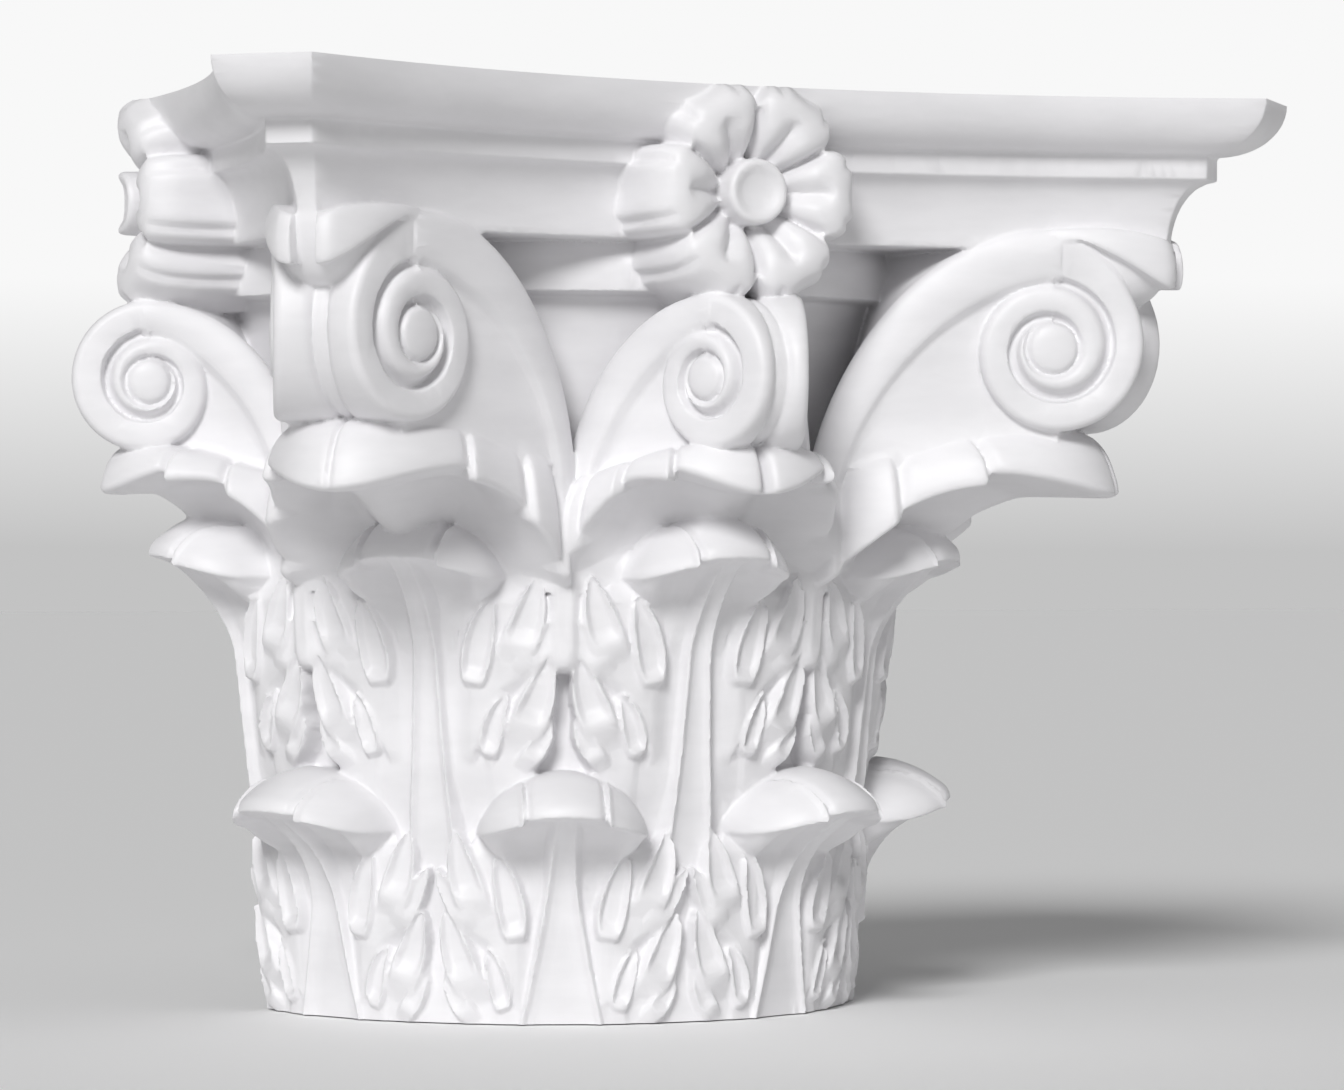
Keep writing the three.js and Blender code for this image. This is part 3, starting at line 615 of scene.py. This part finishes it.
def rosette(skins, angle):
    """A deep flower of six rolled petals round a dished button."""
    phi = np.linspace(0, 2 * math.pi, 480, endpoint=False)
    across = np.abs(((phi / (2 * math.pi) * PETALS) % 1) * 2 - 1)  # 0 on a petal's middle, 1 in a gap
    rings = []
    spacing = np.arange(len(PETAL_OUT))
    for k in np.linspace(0, len(PETAL_OUT) - 1, 120):
        d = fair(k, spacing, PETAL_OUT)
        r = fair(k, spacing, PETAL_RADIUS)
        front = ramp(k, 4, 6)
        notch = (0.12 * across**3 + 0.07 * bead(across, 1, 0.13)) * (1 - 0.5 * front)
        fold = 0.045 * bead(across, 0.52, 0.09) * ramp(k, 0, 1) * (1 - ramp(k, 4.3, 5.6))
        roll = 0.02 * np.cos(2 * math.pi * across) * (1 - front)
        gap = (4.0 * across**4 + 5.0 * bead(across, 1, 0.12)) * front
        crease = (1.4 * bead(across, 0, 0.3) + 2.0 * bead(across, 0, 0.1)) * ramp(k, 5.9, 7)
        pillow = 1.2 * bead(across, 0.5, 0.25) * ramp(k, 6, 7.5)
        r = r * (1 - notch - fold - roll)
        d = d - gap - crease + pillow
        rings.append(around(angle, r * np.sin(phi), d, ROSETTE_Z + r * np.cos(phi)))
    for radius, out in BUTTON:
        rings.append(around(angle, radius * np.sin(phi), out, ROSETTE_Z + radius * np.cos(phi)))
    skins.add(np.stack(rings))


# ---- melting the skins together ----------------------------------------------------------------


def set_out():
    """Every part of the capital, as overlapping closed skins."""
    skins = Skins()
    abacus(skins)
    drum(skins)
    for place in LOWER_PLACES:
        angle = math.radians(place)
        hood(skins, angle, LOWER)
        rib(skins, angle, LOWER)
        tongue(skins, angle)
    for k, place in zip(range(-2, 3), UPPER_PLACES):
        angle = math.radians(place)
        own = CORNER if k % 2 else MIDDLE
        hood(skins, angle, UPPER)
        rib(skins, angle, UPPER)
        calyx(skins, angle, own)
        for hand in (-1, 1):
            if k * hand != 2:  # the wall plane leaves out the scroll behind it
                scroll(skins, angle, hand, own)
                stem(skins, angle, hand, own)
        if own is CORNER:
            drape(skins, angle)
        else:
            rosette(skins, angle)
    return skins.mesh("half_capital_skins")


def block(name, low, high):
    """A box between two corners, for cutting to."""
    x, y, z = zip(low, high)
    points = [(a, b, c) for a in x for b in y for c in z]
    faces = [(0, 1, 3, 2), (4, 6, 7, 5), (0, 4, 5, 1), (2, 3, 7, 6), (0, 2, 6, 4), (1, 5, 7, 3)]
    mesh = bpy.data.meshes.new(name)
    mesh.from_pydata(points, [], faces)
    return mesh


def shown(name, mesh):
    piece = bpy.data.objects.new(name, mesh)
    bpy.context.scene.collection.objects.link(piece)
    return piece


def worked(mesh, kind, **settings):
    """The mesh after one modifier."""
    piece = shown("at_work", mesh)
    modifier = piece.modifiers.new(kind.lower(), kind)
    for key, value in settings.items():
        setattr(modifier, key, value)
    graph = bpy.context.evaluated_depsgraph_get()
    result = bpy.data.meshes.new_from_object(piece.evaluated_get(graph))
    bpy.data.objects.remove(piece)
    bpy.data.meshes.remove(mesh)
    return result


def melted():
    """One skin: the parts melted together, softened as a mould softens them, thinned and cut flat."""
    mesh = worked(set_out(), "REMESH", mode="VOXEL", voxel_size=VOXEL, adaptivity=0)
    mesh = worked(mesh, "SMOOTH", factor=0.5, iterations=SMOOTHING)
    mesh = worked(mesh, "DECIMATE", ratio=min(TRIANGLES / (2 * len(mesh.polygons)), 1))
    far = 2 * HEIGHT
    keep = shown("keep", block("keep", (-far, -far, 0), (far, 0, HEIGHT)))
    mesh = worked(mesh, "BOOLEAN", operation="INTERSECT", solver="MANIFOLD", object=keep)
    bpy.data.objects.remove(keep)
    mesh.transform(Matrix.Translation((0, AXIS_Y, LOW.z)) @ Matrix.Scale(MM, 4))
    return mesh


# ---- finish ------------------------------------------------------------------------------------


def srgb(colour):
    """An sRGB hex colour as linear values."""
    parts = [int(colour[i:i + 2], 16) / 255 for i in (1, 3, 5)]
    return [c / 12.92 if c <= 0.04045 else ((c + 0.055) / 1.055) ** 2.4 for c in parts] + [1]


def add(tree, kind, settings=None, links=None):
    """Adds a node; settings set its properties or sockets, links bring in other nodes' sockets."""
    made = tree.nodes.new(kind)
    for key, value in (settings or {}).items():
        if isinstance(key, int) or key in made.inputs:
            made.inputs[key].default_value = value
        else:
            setattr(made, key, value)
    for key, (source, socket) in (links or {}).items():
        tree.links.new(source.outputs[socket], made.inputs[key])
    return made


def primed_polyurethane():
    """Rigid polyurethane foam from a mould, factory primed: satin white, with the faint streaks of
    the primer and a skin that is not quite even."""
    material = bpy.data.materials.new("primed_polyurethane")
    material.use_nodes = True
    tree = material.node_tree
    tree.nodes.clear()
    place = add(tree, "ShaderNodeTexCoord")
    drawn = add(tree, "ShaderNodeMapping", {"Scale": (0.3, 0.3, 1)}, {"Vector": (place, "Object")})
    streaks = add(tree, "ShaderNodeTexNoise", {"Scale": 1 / (12 * MM), "Detail": 3, "Roughness": 0.55},
                  {"Vector": (drawn, "Vector")})
    tint = add(tree, "ShaderNodeValToRGB", links={"Fac": (streaks, "Fac")})
    tint.color_ramp.elements[0].position, tint.color_ramp.elements[0].color = 0.35, srgb("#e3e2e4")
    tint.color_ramp.elements[1].position, tint.color_ramp.elements[1].color = 0.65, srgb("#e9e8ea")
    skin = add(tree, "ShaderNodeTexNoise", {"Scale": 1 / (3 * MM), "Detail": 2},
               {"Vector": (place, "Object")})
    gloss = add(tree, "ShaderNodeMapRange", {"To Min": 0.42, "To Max": 0.55}, {"Value": (streaks, "Fac")})
    bump = add(tree, "ShaderNodeBump", {"Strength": 0.12, "Distance": 0.15 * MM}, {"Height": (skin, "Fac")})
    surface = add(tree, "ShaderNodeBsdfPrincipled", {"IOR": 1.5}, {
        "Base Color": (tint, "Color"), "Roughness": (gloss, "Result"), "Normal": (bump, "Normal"),
    })
    add(tree, "ShaderNodeOutputMaterial", links={"Surface": (surface, "BSDF")})
    return material


def floor_material():
    """A matt white studio floor."""
    material = bpy.data.materials.new("studio_floor")
    material.use_nodes = True
    surface = material.node_tree.nodes["Principled BSDF"]
    surface.inputs["Base Color"].default_value = srgb("#f4f4f4")
    surface.inputs["Roughness"].default_value = 0.9
    return material


capital = shown("half_capital_moulding", melted())
capital.data.shade_smooth()
capital.data.set_sharp_from_angle(angle=math.radians(38))
capital.data.materials.clear()
capital.data.materials.append(primed_polyurethane())
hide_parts("half_capital")
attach(capital, "root")

# ---- studio ------------------------------------------------------------------------------------

FLOOR_HALF = 12.0
FLOOR_GAP = 0.0005
floor_mesh = bpy.data.meshes.new("studio_floor")
floor_mesh.from_pydata([(-FLOOR_HALF, -FLOOR_HALF, 0), (FLOOR_HALF, -FLOOR_HALF, 0),
                        (FLOOR_HALF, FLOOR_HALF, 0), (-FLOOR_HALF, FLOOR_HALF, 0)], [], [(0, 1, 2, 3)])
floor = shown("studio_floor", floor_mesh)
floor.location.z = LOW.z - FLOOR_GAP
floor.data.materials.append(floor_material())

# the camera stands in front and to the left, at half the capital's height
CAMERA_AWAY = 2.1017
CAMERA_BESIDE = math.radians(25.29)
CAMERA_UP = 0.17884
CAMERA_YAW = math.radians(26.649)
CAMERA_PITCH = math.radians(0.047)
CAMERA_ROLL = math.radians(0.197)
LENS = 141.06

camera = bpy.data.objects.new("camera", bpy.data.cameras.new("camera"))
bpy.context.scene.collection.objects.link(camera)
camera_x = -CAMERA_AWAY * math.sin(CAMERA_BESIDE)
camera_y = AXIS_Y - CAMERA_AWAY * math.cos(CAMERA_BESIDE)
camera.location = (camera_x, camera_y, CAMERA_UP)
level = Matrix.Rotation(-CAMERA_YAW, 3, "Z") @ Matrix.Rotation(math.pi / 2 + CAMERA_PITCH, 3, "X")
camera.rotation_euler = (level @ Matrix.Rotation(CAMERA_ROLL, 3, "Z")).to_euler()
camera.data.lens = LENS
camera.data.clip_end = 100
bpy.context.scene.camera = camera


def soft_sun(name, azimuth, elevation, spread, strength):
    """An even, soft light from a wide window: azimuth 0 shines along +Y."""
    lamp = bpy.data.lights.new(name, "SUN")
    lamp.angle, lamp.energy = math.radians(spread), strength
    holder = bpy.data.objects.new(name, lamp)
    bpy.context.scene.collection.objects.link(holder)
    turn, lift = math.radians(azimuth), math.radians(elevation)
    away = Vector((math.sin(turn) * math.cos(lift), -math.cos(turn) * math.cos(lift), math.sin(lift)))
    holder.rotation_euler = away.to_track_quat("Z", "Y").to_euler()


soft_sun("key", -40, 31, 18, 2.35)
soft_sun("top", -10, 74, 60, 0.45)

# a dim room with a pale wall all round, which blends into the floor where they meet
world = bpy.data.worlds.new("studio")
world.use_nodes = True
sky = world.node_tree
toward = add(sky, "ShaderNodeTexCoord")
parts = add(sky, "ShaderNodeSeparateXYZ", links={"Vector": (toward, "Generated")})
wall = add(sky, "ShaderNodeValToRGB", links={"Fac": (parts, "Z")})
WALL = [(0.0, "#c3c3c3"), (0.05, "#f8f8f8"), (0.11, "#f8f8f8"), (0.16, "#505050")]
for i, (up, colour) in enumerate(WALL):
    stop = wall.color_ramp.elements[i] if i < 2 else wall.color_ramp.elements.new(up)
    stop.position, stop.color = up, srgb(colour)
sky.links.new(wall.outputs["Color"], sky.nodes["Background"].inputs["Color"])
bpy.context.scene.world = world
bpy.context.scene.view_settings.view_transform = "Standard"
